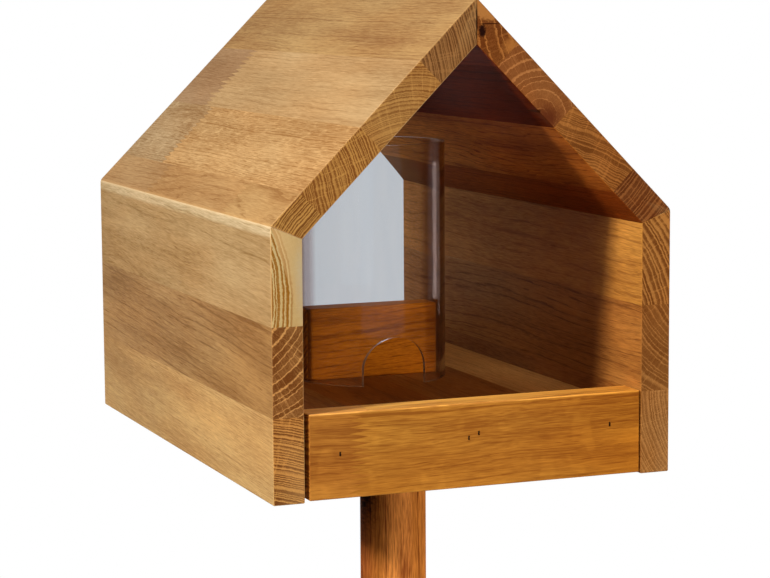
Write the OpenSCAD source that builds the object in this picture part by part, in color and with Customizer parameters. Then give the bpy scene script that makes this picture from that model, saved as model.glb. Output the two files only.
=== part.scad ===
// Bird feeder house in glued oak boards: two walls and two roof boards mitred into an
// open-ended house shape, a seed tray between the walls, a clear seed silo and a round post.
// Millimetres. The origin is the centre of the post's foot, +Z is up, the front faces -Y.

/* [Boards] */
// Thickness of every oak board
board_t = 19; // [16:0.5:22]
// Width of the small chamfer on the exposed edges
ease = 1.2; // [0.6:0.1:2]

/* [House] */
// Width across the outer faces of the side walls
house_w = 252; // [240:1:290]
// Height of the side walls at their outer faces
wall_h = 159; // [145:1:190]
// Depth from the front gable to the rear gable
house_d = 367; // [330:1:420]
// Slope of the roof boards in degrees
roof_pitch = 45; // [42:1:50]

/* [Glued staves] */
// Height of the lower glue line in the walls
wall_glue_low = 50; // [46:1:60]
// Height of the upper glue line in the walls
wall_glue_high = 102; // [90:1:125]
// Distance from the ridge to the first glue line of the left roof board
left_glue_1 = 50; // [34:1:60]
// Distance from the ridge to the second glue line of the left roof board
left_glue_2 = 102; // [80:1:120]
// Distance from the ridge to the third glue line of the left roof board
left_glue_3 = 153; // [130:1:155]
// Distance from the ridge to the first glue line of the right roof board
right_glue_1 = 37; // [28:1:60]
// Distance from the ridge to the second glue line of the right roof board
right_glue_2 = 88; // [70:1:110]
// Distance from the ridge to the third glue line of the right roof board
right_glue_3 = 143; // [125:1:155]
// Distance from the tray's left edge to the first glue line of the floor
floor_glue_1 = 52; // [40:1:70]
// Distance from the tray's left edge to the second glue line of the floor
floor_glue_2 = 110; // [90:1:125]
// Distance from the tray's left edge to the third glue line of the floor
floor_glue_3 = 168; // [150:1:180]

/* [Seed tray] */
// Height of the lips in front of and behind the floor
lip_h = 50; // [44:1:70]
// Height of the floor's underside above the lower edge of the lips
floor_up = 20; // [16:1:24]
// Height of the lower edge of the lips above the lower edge of the walls
tray_lift = 1; // [0:0.5:4]
// Gap between the tray and the left wall
gap_left = 2.8; // [0.5:0.1:4]
// Gap between the tray and the right wall
gap_right = 1; // [0.5:0.1:4]

/* [Dowels and brads] */
// Diameter of the dowels that carry the house on the floor's side edges
dowel_d = 8; // [6:1:10]
// Depth of the dowels in the walls
dowel_in_wall = 11; // [8:1:13]
// Depth of the dowels in the floor
dowel_in_floor = 20; // [15:1:30]
// Distance from the ends of the house to the outer dowels
dowel_inset = 62; // [45:1:90]
// Width of a brad
brad_w = 1.2; // [1:0.1:2]
// Height of a brad's flat head and shank
brad_h = 2.6; // [1.4:0.1:4]
// Length of a brad
brad_l = 32; // [28:1:36]
// Depth of a brad's head below the face of the lip
brad_set = 0.8; // [0.3:0.1:2]

/* [Seed silo] */
// Outer diameter of the clear tube
tube_d = 100; // [90:1:110]
// Wall thickness of the clear tube
tube_wall = 3; // [2:0.5:4]
// Length of the clear tube
tube_l = 153; // [120:1:165]
// Width of the arches at the foot of the tube
arch_w = 42; // [30:1:50]
// Height of the arches at the foot of the tube
arch_h = 31; // [27:1:40]
// Height of the block that the tube stands over
block_h = 46.5; // [38:0.5:60]
// Play between the block's corners and the inside of the tube
block_play = 1; // [0.5:0.1:3]
// Distance from the middle of the tray to the axis of the silo, to the right
silo_shift = 2.6; // [-5:0.1:5]

/* [Post] */
// Diameter of the round post
post_d = 42; // [34:1:50]
// Height of the lower edge of the walls above the foot of the post
post_reach = 1000; // [800:10:1400]
// Distance from the middle of the house to the axis of the post, towards the front
post_forward = 47.5; // [0:0.5:60]
// Diameter of the post's tenon in the floor
tenon_d = 25; // [18:1:30]
// Length of the post's tenon in the floor
tenon_l = 12; // [8:1:14]

/* [Hidden] */

// A cutter reaches this far past the face that it cuts
over = 1;
// A round peg is this much smaller all round than its hole
peg_play = 0.15;
// Facets drawn on a full circle
round_fn = 96;

// Roof
apex_h = wall_h + house_w / 2 * tan(roof_pitch);
slope_l = house_w / 2 / cos(roof_pitch);

// Tray, measured in the house from the left wall's outer face and the walls' lower edge
tray_x0 = board_t + gap_left;
tray_x1 = house_w - board_t - gap_right;
tray_mid = (tray_x0 + tray_x1) / 2;
floor_z0 = tray_lift + floor_up;
floor_z1 = floor_z0 + board_t;
floor_mid = (floor_z0 + floor_z1) / 2;
floor_y0 = board_t;
floor_y1 = house_d - board_t;

// Dowels lie across the gap between the floor's edge and the wall
dowel_ys = [dowel_inset, house_d / 2, house_d - dowel_inset];

// Brads: place across the house, set in from the lip's ends or off the tray's middle, and
// height above the middle of the floor's edge; driven by eye, so no two are quite alike
front_brad_spots = [[tray_x0 + 18.8, -3.5], [tray_mid - 6.2, -0.3],
                    [tray_mid + 0.1, 2.2], [tray_x1 - 19.8, 1.2]];
rear_brad_spots = [[tray_x0 + 21, 1], [tray_mid - 4.1, 2],
                   [tray_mid + 6.9, -1], [tray_x1 - 22.2, -2.5]];

// Silo
silo_x = tray_mid + silo_shift;
silo_y = house_d / 2;
tube_r = tube_d / 2;
bore_r = tube_r - tube_wall;
arch_r = arch_w / 2;
block_w = 2 * sqrt(pow(bore_r - block_play, 2) - pow(board_t / 2, 2));

// Post
post_x = tray_mid;
post_y = house_d / 2 - post_forward;

// Moves a piece from the house's own corner to the frame of the whole feeder
module in_place() {
    translate([-post_x, -post_y, post_reach]) children();
}

// Turns a piece of the left side into the same piece on the right side
module right_side() {
    translate([house_w, 0, 0]) mirror([1, 0, 0]) children();
}

// A flat section in X and Z, drawn out a little past both ends of the house
module past_both_ends(points) {
    translate([0, house_d + over, 0])
        rotate([90, 0, 0])
            linear_extrude(house_d + 2 * over) polygon(points);
}

// A board on edge with chamfered front and rear ends, a little longer than its length both ways
module eased_board(length) {
    translate([0, 0, -over])
        linear_extrude(length + 2 * over)
            polygon([[ease, 0], [board_t - ease, 0], [board_t, ease],
                     [board_t, house_d - ease], [board_t - ease, house_d],
                     [ease, house_d], [0, house_d - ease], [0, ease]]);
}

// A rectangle with chamfered corners
module eased_rectangle(a, b) {
    polygon([[ease, 0], [a - ease, 0], [a, ease], [a, b - ease],
             [a - ease, b], [ease, b], [0, b - ease], [0, ease]]);
}

// A block with all twelve edges chamfered
module eased_block(size) {
    intersection() {
        linear_extrude(size[2]) eased_rectangle(size[0], size[1]);
        translate([0, size[1], 0])
            rotate([90, 0, 0]) linear_extrude(size[1]) eased_rectangle(size[0], size[2]);
        rotate([90, 0, 90]) linear_extrude(size[0]) eased_rectangle(size[1], size[2]);
    }
}

// The mitre at the eave, d in from the outer faces of the wall and of the roof board
function eave_point(d) = [d, wall_h - d * tan((90 - roof_pitch) / 2)];

// The mitre at the ridge, d in from the outer face of the roof board
function ridge_point(d) = [house_w / 2, apex_h - d / cos(roof_pitch)];

// Where the wall is cut at height z: square, or mitred at the eave
function wall_cut(z, d) = z == wall_h ? eave_point(d) : [d, z];

// Where the roof board is cut s down the slope: mitred at the ridge and the eave, square between
function roof_cut(s, d) =
    s == 0 ? ridge_point(d)
    : s == slope_l ? eave_point(d)
    : [house_w / 2 - s * cos(roof_pitch) + d * sin(roof_pitch),
       apex_h - s * sin(roof_pitch) - d * cos(roof_pitch)];

// The lower end of a wall stave: chamfered at the foot of the wall, square above it
function wall_foot(z) =
    z == 0 ? [[-over, ease + over], [ease, 0], [board_t - ease, 0], [board_t + over, ease + over]]
    : [wall_cut(z, -over), wall_cut(z, board_t + over)];

module wall_stave(z0, z1) {
    intersection() {
        past_both_ends(concat(wall_foot(z0), [wall_cut(z1, board_t + over), wall_cut(z1, -over)]));
        eased_board(wall_h);
    }
}

module roof_stave(s0, s1) {
    intersection() {
        past_both_ends([roof_cut(s0, -over), roof_cut(s1, -over),
                        roof_cut(s1, board_t + over), roof_cut(s0, board_t + over)]);
        translate([house_w / 2, 0, apex_h])
            rotate([0, 90 - roof_pitch, 0])
                translate([0, 0, -slope_l]) eased_board(slope_l);
    }
}

// Holes for the dowels of the left side, in the wall and in the floor's edge
module dowel_holes() {
    for (y = dowel_ys)
        translate([board_t - dowel_in_wall, y, floor_mid])
            rotate([0, 90, 0])
                cylinder(d = dowel_d, h = dowel_in_wall + gap_left + dowel_in_floor, $fn = round_fn);
}

// The same holes on the right side
module right_dowel_holes() {
    for (y = dowel_ys)
        translate([tray_x1 - dowel_in_floor, y, floor_mid])
            rotate([0, 90, 0])
                cylinder(d = dowel_d, h = dowel_in_wall + gap_right + dowel_in_floor, $fn = round_fn);
}

// Dowels, a little slimmer than their holes and resting against both hole bottoms
module dowels(x0, length) {
    for (y = dowel_ys)
        translate([x0, y, floor_mid])
            rotate([0, 90, 0])
                cylinder(r = dowel_d / 2 - peg_play, h = length, $fn = round_fn);
}

// Flat brads driven in from the front; the head lies at depth "from" below the face
module front_brad_bars(from) {
    for (p = front_brad_spots)
        translate([p[0] - brad_w / 2, from, floor_mid + p[1] - brad_h / 2])
            cube([brad_w, brad_set + brad_l - from, brad_h]);
}

module rear_brad_bars(from) {
    for (p = rear_brad_spots)
        translate([p[0] - brad_w / 2, house_d - brad_set - brad_l,
                   floor_mid + p[1] - brad_h / 2])
            cube([brad_w, brad_set + brad_l - from, brad_h]);
}

// One stave of the floor, between two distances from the tray's left edge
module floor_stave(x0, x1) {
    difference() {
        translate([tray_x0 + x0, floor_y0, floor_z0])
            cube([x1 - x0, floor_y1 - floor_y0, board_t]);
        dowel_holes();
        right_dowel_holes();
        front_brad_bars(-over);
        rear_brad_bars(-over);
        translate([post_x, post_y, floor_z0 - over])
            cylinder(d = tenon_d, h = tenon_l + over, $fn = round_fn);
    }
}

module lip() {
    eased_block([tray_x1 - tray_x0, board_t, lip_h]);
}

// Opening at the foot of the tube: two straight legs under a half circle
module arch_cutter() {
    rotate([90, 0, 0])
        linear_extrude(tube_d + 2 * over, center = true)
            union() {
                translate([-arch_r, -over]) square([arch_w, arch_h - arch_r + over]);
                translate([0, arch_h - arch_r]) circle(r = arch_r, $fn = round_fn);
            }
}

module left_wall_bottom_stave() {
    color([0.74, 0.53, 0.29])
        in_place() difference() {
            wall_stave(0, wall_glue_low);
            dowel_holes();
        }
}

module left_wall_middle_stave() {
    color([0.72, 0.50, 0.27]) in_place() wall_stave(wall_glue_low, wall_glue_high);
}

module left_wall_top_stave() {
    color([0.82, 0.66, 0.40]) in_place() wall_stave(wall_glue_high, wall_h);
}

module right_wall_bottom_stave() {
    color([0.70, 0.50, 0.28])
        in_place() difference() {
            right_side() wall_stave(0, wall_glue_low);
            right_dowel_holes();
        }
}

module right_wall_middle_stave() {
    color([0.66, 0.43, 0.22]) in_place() right_side() wall_stave(wall_glue_low, wall_glue_high);
}

module right_wall_top_stave() {
    color([0.76, 0.54, 0.28]) in_place() right_side() wall_stave(wall_glue_high, wall_h);
}

module left_roof_ridge_stave() {
    color([0.76, 0.56, 0.33]) in_place() roof_stave(0, left_glue_1);
}

module left_roof_upper_stave() {
    color([0.80, 0.61, 0.38]) in_place() roof_stave(left_glue_1, left_glue_2);
}

module left_roof_lower_stave() {
    color([0.75, 0.53, 0.30]) in_place() roof_stave(left_glue_2, left_glue_3);
}

module left_roof_eave_stave() {
    color([0.78, 0.56, 0.31]) in_place() roof_stave(left_glue_3, slope_l);
}

module right_roof_ridge_stave() {
    color([0.70, 0.47, 0.24]) in_place() right_side() roof_stave(0, right_glue_1);
}

module right_roof_upper_stave() {
    color([0.66, 0.43, 0.21]) in_place() right_side() roof_stave(right_glue_1, right_glue_2);
}

module right_roof_lower_stave() {
    color([0.72, 0.49, 0.25]) in_place() right_side() roof_stave(right_glue_2, right_glue_3);
}

module right_roof_eave_stave() {
    color([0.52, 0.32, 0.17]) in_place() right_side() roof_stave(right_glue_3, slope_l);
}

module floor_stave_1() {
    color([0.62, 0.40, 0.20]) in_place() floor_stave(0, floor_glue_1);
}

module floor_stave_2() {
    color([0.58, 0.37, 0.19]) in_place() floor_stave(floor_glue_1, floor_glue_2);
}

module floor_stave_3() {
    color([0.60, 0.38, 0.20]) in_place() floor_stave(floor_glue_2, floor_glue_3);
}

module floor_stave_4() {
    color([0.64, 0.43, 0.24]) in_place() floor_stave(floor_glue_3, tray_x1 - tray_x0);
}

module front_lip() {
    color([0.80, 0.54, 0.22])
        in_place() difference() {
            translate([tray_x0, 0, tray_lift]) lip();
            front_brad_bars(-over);
        }
}

module rear_lip() {
    color([0.78, 0.52, 0.24])
        in_place() difference() {
            translate([tray_x0, house_d - board_t, tray_lift]) lip();
            rear_brad_bars(-over);
        }
}

module front_brads() {
    color([0.16, 0.13, 0.11]) in_place() front_brad_bars(brad_set);
}

module rear_brads() {
    color([0.16, 0.13, 0.11]) in_place() rear_brad_bars(brad_set);
}

module left_dowels() {
    color([0.80, 0.64, 0.42])
        in_place() dowels(board_t - dowel_in_wall, dowel_in_wall + gap_left + dowel_in_floor);
}

module right_dowels() {
    color([0.80, 0.64, 0.42])
        in_place() dowels(tray_x1 - dowel_in_floor, dowel_in_wall + gap_right + dowel_in_floor);
}

module silo_block() {
    color([0.76, 0.47, 0.18])
        in_place() translate([silo_x - block_w / 2, silo_y - board_t / 2, floor_z1])
            eased_block([block_w, board_t, block_h]);
}

module silo_tube() {
    color([0.85, 0.90, 0.93, 0.35])
        in_place() translate([silo_x, silo_y, floor_z1])
            difference() {
                cylinder(r = tube_r, h = tube_l, $fn = round_fn);
                translate([0, 0, -over]) cylinder(r = bore_r, h = tube_l + 2 * over, $fn = round_fn);
                arch_cutter();
            }
}

module post() {
    color([0.66, 0.40, 0.18])
        in_place() translate([post_x, post_y, 0]) {
            translate([0, 0, -post_reach])
                cylinder(d = post_d, h = post_reach + floor_z0, $fn = round_fn);
            translate([0, 0, floor_z0 - over])
                cylinder(r = tenon_d / 2 - peg_play, h = tenon_l + over, $fn = round_fn);
        }
}

left_wall_bottom_stave();
left_wall_middle_stave();
left_wall_top_stave();
right_wall_bottom_stave();
right_wall_middle_stave();
right_wall_top_stave();
left_roof_ridge_stave();
left_roof_upper_stave();
left_roof_lower_stave();
left_roof_eave_stave();
right_roof_ridge_stave();
right_roof_upper_stave();
right_roof_lower_stave();
right_roof_eave_stave();
floor_stave_1();
floor_stave_2();
floor_stave_3();
floor_stave_4();
front_lip();
rear_lip();
front_brads();
rear_brads();
left_dowels();
right_dowels();
silo_block();
silo_tube();
post();
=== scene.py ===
# %% [markdown]
# # A bird feeder house in oiled oak
# The real feeder is a little house of four glued-up oak boards, mitred at the eaves and at the
# ridge and open at both ends. A seed tray sits between its walls, a clear tube stands over a
# block in the middle, and a round post carries the whole house. The frame holds every piece at
# its real size. This script gives each piece its eased edges and its own wood.

import math

import bmesh
import bpy
from mathutils import Matrix, Vector


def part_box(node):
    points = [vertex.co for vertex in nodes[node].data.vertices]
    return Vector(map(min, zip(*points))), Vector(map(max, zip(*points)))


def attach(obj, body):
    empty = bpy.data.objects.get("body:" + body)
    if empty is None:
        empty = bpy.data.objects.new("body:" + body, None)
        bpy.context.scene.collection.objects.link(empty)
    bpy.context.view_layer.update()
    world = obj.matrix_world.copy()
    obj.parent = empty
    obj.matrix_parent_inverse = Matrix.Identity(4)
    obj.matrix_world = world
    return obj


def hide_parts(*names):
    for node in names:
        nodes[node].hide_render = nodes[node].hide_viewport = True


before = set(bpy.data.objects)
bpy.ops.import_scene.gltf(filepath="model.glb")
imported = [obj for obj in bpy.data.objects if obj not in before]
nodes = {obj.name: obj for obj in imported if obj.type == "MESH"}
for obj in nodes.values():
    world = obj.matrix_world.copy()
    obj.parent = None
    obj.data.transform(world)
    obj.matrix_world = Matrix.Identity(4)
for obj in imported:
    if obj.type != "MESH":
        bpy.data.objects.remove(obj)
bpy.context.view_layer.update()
scene = bpy.context.scene
MM = 0.001

# %% [markdown]
# ## Places to measure from
# Everything below is placed from a few pieces of the house that the frame already holds: its
# two walls, its ridge and its silo. Reading them means that nothing is typed in twice.

# %% Corners of the house
left_low, left_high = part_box("left_wall_bottom_stave")
left_x, right_x = left_low.x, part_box("right_wall_bottom_stave")[1].x
foot_z = left_low.z
front_y, rear_y = left_low.y, left_high.y
board = left_high.x - left_x
eave_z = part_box("left_wall_top_stave")[1].z
ridge_x = (left_x + right_x) / 2
ridge_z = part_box("left_roof_ridge_stave")[1].z
pitch = math.atan2(ridge_z - eave_z, ridge_x - left_x)
house_corner = Vector((left_x, front_y, foot_z))
print("boards", round(board, 4), "m thick, roof at", round(math.degrees(pitch), 1), "degrees")

# %% [markdown]
# ## Camera
# A long lens from about a metre and a half away keeps the walls nearly parallel. The camera
# stands to the left of the open gable and looks a little down, so that the left wall, the left
# roof board, the end grain and the inside of the right wall all show.

# %% Camera
def in_scene(name, data):
    """Puts a mesh, a lamp or a camera in the scene as an object."""
    made = bpy.data.objects.new(name, data)
    scene.collection.objects.link(made)
    return made


camera_data = bpy.data.cameras.new("camera")
camera_data.sensor_width = 36.0
camera_data.lens = 110.95
camera = in_scene("camera", camera_data)
turn_right = math.radians(21.59)
look_down = math.radians(7.15)
lean = math.radians(-0.36)
from_corner = Vector((-0.4250, -1.2473, 0.2887))
camera.rotation_mode = "QUATERNION"
camera.rotation_quaternion = (Matrix.Rotation(-turn_right, 3, "Z")
                              @ Matrix.Rotation(math.pi / 2 - look_down, 3, "X")
                              @ Matrix.Rotation(lean, 3, "Z")).to_quaternion()
camera.location = house_corner + from_corner
scene.camera = camera
scene.view_settings.view_transform = "Standard"
print("camera", [round(v, 3) for v in camera.location], "lens", camera_data.lens)

# %% [markdown]
# ## Small tools for node trees
# Every finish below is a tree of nodes. A few short helpers keep those trees readable. One adds
# a node and plugs values or other nodes into it. Each of the others stands for a node that is
# used again and again: Math, Vector Math, Mix, Map Range and Noise Texture.

# %% Nodes
def plug(tree, node, inputs):
    """Plugs a plain value or another node's socket into each named input of a node."""
    for name, value in inputs.items():
        if isinstance(value, bpy.types.NodeSocket):
            tree.links.new(value, node.inputs[name])
        else:
            node.inputs[name].default_value = value


def add_node(tree, kind, inputs=None, **settings):
    """Adds a node, sets its options and plugs in its inputs."""
    made = tree.nodes.new(kind)
    for name, value in settings.items():
        setattr(made, name, value)
    plug(tree, made, inputs or {})
    return made


print("nodes can be added and plugged in")

# %% Arithmetic
def maths(tree, operation, *values, clamp=False):
    """One Math node on numbers or sockets."""
    return add_node(tree, "ShaderNodeMath", dict(enumerate(values)),
                    operation=operation, use_clamp=clamp).outputs[0]


def plus(tree, first, second):
    return maths(tree, "ADD", first, second)


def minus(tree, first, second):
    return maths(tree, "SUBTRACT", first, second)


def times(tree, first, second):
    return maths(tree, "MULTIPLY", first, second)


def times_plus(tree, value, factor, added, clamp=False):
    """Multiplies a value and then adds to it, in one Math node."""
    return maths(tree, "MULTIPLY_ADD", value, factor, added, clamp=clamp)


def vectors(tree, operation, *values, output=0):
    """One Vector Math node. Its output 0 is a vector, and its output 1 a number."""
    return add_node(tree, "ShaderNodeVectorMath", dict(enumerate(values)),
                    operation=operation).outputs[output]


def scaled(tree, vector, factor):
    """A vector made longer or shorter."""
    return add_node(tree, "ShaderNodeVectorMath", {0: vector, "Scale": factor},
                    operation="SCALE").outputs[0]


def how_far_along(tree, spot, direction):
    """How far a spot lies along a direction."""
    return vectors(tree, "DOT_PRODUCT", spot, direction, output=1)


def axes_of(tree, vector):
    """The X, Y and Z of a vector."""
    return add_node(tree, "ShaderNodeSeparateXYZ", {0: vector}).outputs


def from_axes(tree, x=0.0, y=0.0, z=0.0):
    """A vector from its X, Y and Z."""
    return add_node(tree, "ShaderNodeCombineXYZ", {0: x, 1: y, 2: z}).outputs[0]


print("arithmetic ready")

# %% Masks and noises
def between(tree, value, low, high, to_low=0.0, to_high=1.0):
    """Maps a range of a value to 0..1, with soft ends."""
    return add_node(tree, "ShaderNodeMapRange",
                    {"Value": value, "From Min": low, "From Max": high,
                     "To Min": to_low, "To Max": to_high},
                    interpolation_type="SMOOTHSTEP", clamp=True).outputs[0]


def falling(tree, value, low, high):
    """Maps a range of a value the other way, from 1 down to 0."""
    return between(tree, value, low, high, to_low=1.0, to_high=0.0)


def streaky(tree, vector, sizes, detail=2.0, roughness=0.5, output=0):
    """Noise whose lumps have the given sizes in X, Y and Z, in the units of the vector."""
    return add_node(tree, "ShaderNodeTexNoise",
                    {"Vector": vectors(tree, "DIVIDE", vector, sizes), "Scale": 1.0,
                     "Detail": detail, "Roughness": roughness}).outputs[output]


def chance(tree, number):
    """A steady random value, 0 to 1, for each whole number."""
    return add_node(tree, "ShaderNodeTexWhiteNoise", {"W": number},
                    noise_dimensions="1D").outputs["Value"]


print("masks and noises ready")

# %% Colours
WHITE = (1, 1, 1, 1)


def tone(red, green, blue):
    """A colour given as the eye sees it, 0 to 255, turned into the light values that nodes use."""
    parts = []
    for part in (red, green, blue):
        part /= 255
        parts.append(part / 12.92 if part <= 0.04045 else ((part + 0.055) / 1.055) ** 2.4)
    return (*parts, 1.0)


def blend_colours(tree, factor, first, second, kind="MIX"):
    """Blends two colours. The colour sockets of a Mix node are its inputs 6 and 7."""
    return add_node(tree, "ShaderNodeMix", {0: factor, 6: first, 7: second},
                    data_type="RGBA", blend_type=kind, clamp_factor=True).outputs[2]


def tinted(tree, colour, tint):
    """Multiplies a colour by a tint."""
    return blend_colours(tree, 1.0, colour, tint, "MULTIPLY")


print("the tone 128, 128, 128 is", round(tone(128, 128, 128)[0], 3), "in light")

# %% Groups and materials
def add_sockets(tree, direction, sockets):
    """Gives a tree its named sockets, each as (name, kind) or (name, kind, value)."""
    for label, kind, *value in sockets:
        socket = tree.interface.new_socket(label, in_out=direction, socket_type="NodeSocket" + kind)
        if value:
            socket.default_value = value[0]


def new_group(name, inputs, outputs):
    """An empty shader node group with named sockets, its input node and its output node."""
    tree = bpy.data.node_groups.new(name, "ShaderNodeTree")
    add_sockets(tree, "INPUT", inputs)
    add_sockets(tree, "OUTPUT", outputs)
    return tree, tree.nodes.new("NodeGroupInput").outputs, tree.nodes.new("NodeGroupOutput")


def new_material(name):
    """A new material, its tree, its Principled shader and the sockets of Texture Coordinate."""
    material = bpy.data.materials.new(name)
    material.use_nodes = True
    tree = material.node_tree
    coordinates = tree.nodes.new("ShaderNodeTexCoord").outputs
    return material, tree, tree.nodes["Principled BSDF"], coordinates


print("groups and materials ready")

# %% [markdown]
# ## Oak figure
# Oak grows in rings round the pith of the trunk. Each ring starts with a band of wide pores and
# ends in dense, darker wood. A board is a straight slice out of that trunk, so one solid pattern
# of rings gives the end grain and the faces together, and the lines run on round the corners.
# An image would have to be wrapped and would never meet at the edges. Everything here works in
# millimetres, with Y along the grain and the pith at the origin.

# %% Rings of the trunk
# Sizes are millimetres across the rings, along the board, and across it the other way.
SLOW_DRIFT, RIPPLE = (60, 220, 60), (10, 50, 10)
RAGGED_RINGS = (1.8, 40.0, 1.8)


def spread(tree, noise, strength):
    """Turns a noise into a swing round zero, of the given strength."""
    return times(tree, minus(tree, noise, 0.5), strength)


def bend_the_trunk(tree, place, wander):
    """No trunk is straight: the rings wander slowly along the board and ripple a little."""
    bent = place
    for sizes, share in ((SLOW_DRIFT, 2.2), (RIPPLE, 0.4)):
        drift = vectors(tree, "SUBTRACT", streaky(tree, place, sizes, output=1), (0.5,) * 3)
        bent = vectors(tree, "ADD", bent, scaled(tree, drift, times(tree, wander, share)))
    return bent


def growth_rings(tree, place, bent, ring_width):
    """The distance from the pith, the place within a ring from 0 to 1, and a tone for the year."""
    radius = vectors(tree, "LENGTH", vectors(tree, "MULTIPLY", bent, (1, 0, 1)), output=1)
    ragged = streaky(tree, place, RAGGED_RINGS)
    radius = plus(tree, radius, spread(tree, ragged, times(tree, ring_width, 0.5)))
    # Good years and bad years: the width of the rings varies from the pith outwards.
    age = maths(tree, "DIVIDE", radius, ring_width)
    years = add_node(tree, "ShaderNodeTexNoise", {"W": age, "Scale": 0.27, "Detail": 2.0},
                     noise_dimensions="1D").outputs[0]
    age = times_plus(tree, years, 3.2, age)
    return radius, maths(tree, "FRACT", age), chance(tree, maths(tree, "FLOOR", age))


def late_wood(tree, ring, share):
    """The dense end of each ring, which takes up the given share of it."""
    early = minus(tree, 1.0, share)
    rising = between(tree, ring, times(tree, early, 0.45), times(tree, early, 1.4))
    return times(tree, rising, falling(tree, ring, 0.93, 1.0))


print("rings ready")

# %% Pores and rays
PORE, PORE_GROUPS = (0.5, 12.0, 0.5), (7.0, 45.0, 7.0)
RAY = (1.0, 11.0, 22.0)
RAYS_ROUND = 100.0


def open_pores(tree, place, bent, first_row):
    """Pores are tubes: dashes on a face, pinholes on the end grain. Most are in the first row."""
    pores = between(tree, streaky(tree, bent, PORE, 1), 0.56, 0.68)
    pores = times(tree, pores, times_plus(tree, first_row, 0.65, 0.35))
    groups = between(tree, streaky(tree, place, PORE_GROUPS, 1), 0.3, 0.62)
    return times(tree, pores, groups)


def wood_rays(tree, bent, radius):
    """Rays run from the pith outwards: pale threads on end grain, flecks on a quartered face."""
    axes = axes_of(tree, bent)
    angle = maths(tree, "ARCTAN2", axes[2], axes[0])
    fan = from_axes(tree, times(tree, angle, RAYS_ROUND), axes[1], radius)
    return between(tree, streaky(tree, fan, RAY, 1), 0.57, 0.72)


print("pores and rays ready")

# %% [markdown]
# On a face the rings are faint, and it is the short dashes of the pores and the broad patches of
# tone that make oak look like oak. On the end grain the rings are strong and the patches weak.
# So the group first adds everything up to one depth of tone, 0 for pale and 1 for deep, and only
# then picks the colour. Its height and its roughness come from the same pores and fibres.

# %% Tone and colour
PATCH, BAND, FIBRE = (24.0, 150.0, 24.0), (2.2, 75.0, 2.2), (0.55, 13.0, 0.55)
GOLDEN_OR_RED = (34.0, 130.0, 34.0)


def ring_swing(tree, asked, end, late, first_row, bands):
    """The rings swing the tone by their late wood on an end, and by their pores on a face."""
    face_rings = times(tree, asked["Face Rings"],
                       between(tree, bands, 0.3, 0.7, to_low=0.35, to_high=1.4))
    on_end = times(tree, times(tree, end, asked["End Rings"]), minus(tree, late, 0.5))
    on_face = times(tree, times(tree, minus(tree, 1.0, end), face_rings),
                    minus(tree, first_row, 0.16))
    return plus(tree, on_end, on_face)


def wood_colour(tree, asked, place, end, depth):
    """The colour also drifts between golden and reddish, and a worn edge is paler."""
    face = blend_colours(tree, depth, asked["Pale"], asked["Deep"])
    cut = blend_colours(tree, depth, asked["End Pale"], asked["End Deep"])
    warmth = between(tree, streaky(tree, place, GOLDEN_OR_RED), 0.3, 0.7)
    drift = blend_colours(tree, warmth, (1.0, 1.03, 1.06, 1), (1.01, 0.96, 0.90, 1))
    colour = tinted(tree, blend_colours(tree, end, face, cut), drift)
    worn = tinted(tree, asked["Pale"], (1.16, 1.14, 1.1, 1))
    return blend_colours(tree, times(tree, asked["Edge"], asked["Wear"]), colour, worn)


print("tone and colour ready")

# %% Oak figure group
OAK_INPUTS = [
    ("Place", "Vector"), ("End Grain", "Float", 0.0), ("Edge", "Float", 0.0),
    ("Pale", "Color", (0.6, 0.4, 0.2, 1)), ("Deep", "Color", (0.3, 0.15, 0.06, 1)),
    ("End Pale", "Color", (0.5, 0.3, 0.15, 1)), ("End Deep", "Color", (0.2, 0.09, 0.03, 1)),
    ("Ring Width", "Float", 3.0), ("Late Wood", "Float", 0.55), ("End Rings", "Float", 1.0),
    ("Face Rings", "Float", 0.3), ("Wander", "Float", 4.0), ("Patches", "Float", 1.0),
    ("Fibres", "Float", 1.0), ("Pores", "Float", 0.5), ("Flecks", "Float", 0.08),
    ("Heart", "Float", 1000.0), ("Wear", "Float", 0.2)]


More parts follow.
